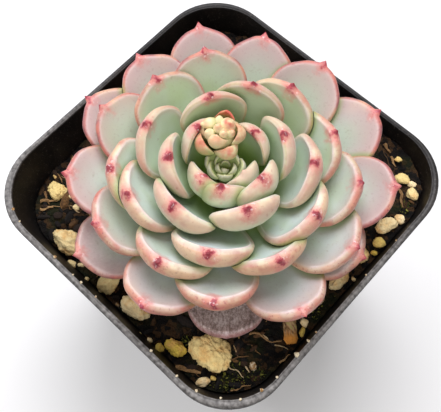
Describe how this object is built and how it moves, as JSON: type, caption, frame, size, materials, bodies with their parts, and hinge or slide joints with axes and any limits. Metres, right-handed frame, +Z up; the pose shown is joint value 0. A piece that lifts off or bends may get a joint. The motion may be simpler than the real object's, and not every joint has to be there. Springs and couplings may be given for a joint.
{
  "type": "potted succulent",
  "caption": "Small square nursery pot with soil and one low rosette of thick, blunt-tipped succulent leaves round a small cluster of flower buds.",
  "frame": {"origin": "middle of the pot's underside, on the surface the pot stands on", "axes": "+Z up, X and Y along the straight sides of the square pot"},
  "size_m": [0.07, 0.07, 0.0857],
  "materials": {
    "pot": "thin black moulded plastic, satin, dusty at the rim",
    "soil": "loose dark peat mix with fibres and grit",
    "stem": "smooth pale green skin",
    "leaf": "waxy pale blue-green with a bloom, pink along the edge and dark red at the tip",
    "heart": "smooth young green leaves",
    "buds": "smooth cream buds blushed yellow, orange and pink",
    "pumice": "rough porous lumps, cream to ochre yellow",
    "bark": "dry fibrous brown"
  },
  "bodies": {
    "root": {"pot": "pot", "soil": "soil", "stem": "stem", "heart": "heart", "flower_buds": "buds", "leaf_01": "leaf", "leaf_02": "leaf", "leaf_03": "leaf", "leaf_04": "leaf", "leaf_05": "leaf", "leaf_06": "leaf", "leaf_07": "leaf", "leaf_08": "leaf", "leaf_09": "leaf", "leaf_10": "leaf", "leaf_11": "leaf", "leaf_12": "leaf", "leaf_13": "leaf", "leaf_14": "leaf", "leaf_15": "leaf", "leaf_16": "leaf", "leaf_17": "leaf", "leaf_18": "leaf", "leaf_19": "leaf", "leaf_20": "leaf", "leaf_21": "leaf", "leaf_22": "leaf", "leaf_23": "leaf", "leaf_24": "leaf", "leaf_25": "leaf", "leaf_26": "leaf", "leaf_27": "leaf", "leaf_28": "leaf", "leaf_29": "leaf", "leaf_30": "leaf", "leaf_31": "leaf", "leaf_32": "leaf", "leaf_33": "leaf", "leaf_34": "leaf", "leaf_35": "leaf", "leaf_36": "leaf", "leaf_37": "leaf", "leaf_38": "leaf", "leaf_39": "leaf", "leaf_40": "leaf", "leaf_41": "leaf", "leaf_42": "leaf", "leaf_43": "leaf", "leaf_44": "leaf", "pumice_1": "pumice", "pumice_2": "pumice", "pumice_3": "pumice", "pumice_4": "pumice", "pumice_5": "pumice", "pumice_6": "pumice", "pumice_7": "pumice", "pumice_8": "pumice", "pumice_9": "pumice", "bark_chip": "bark"}
  },
  "joints": []
}
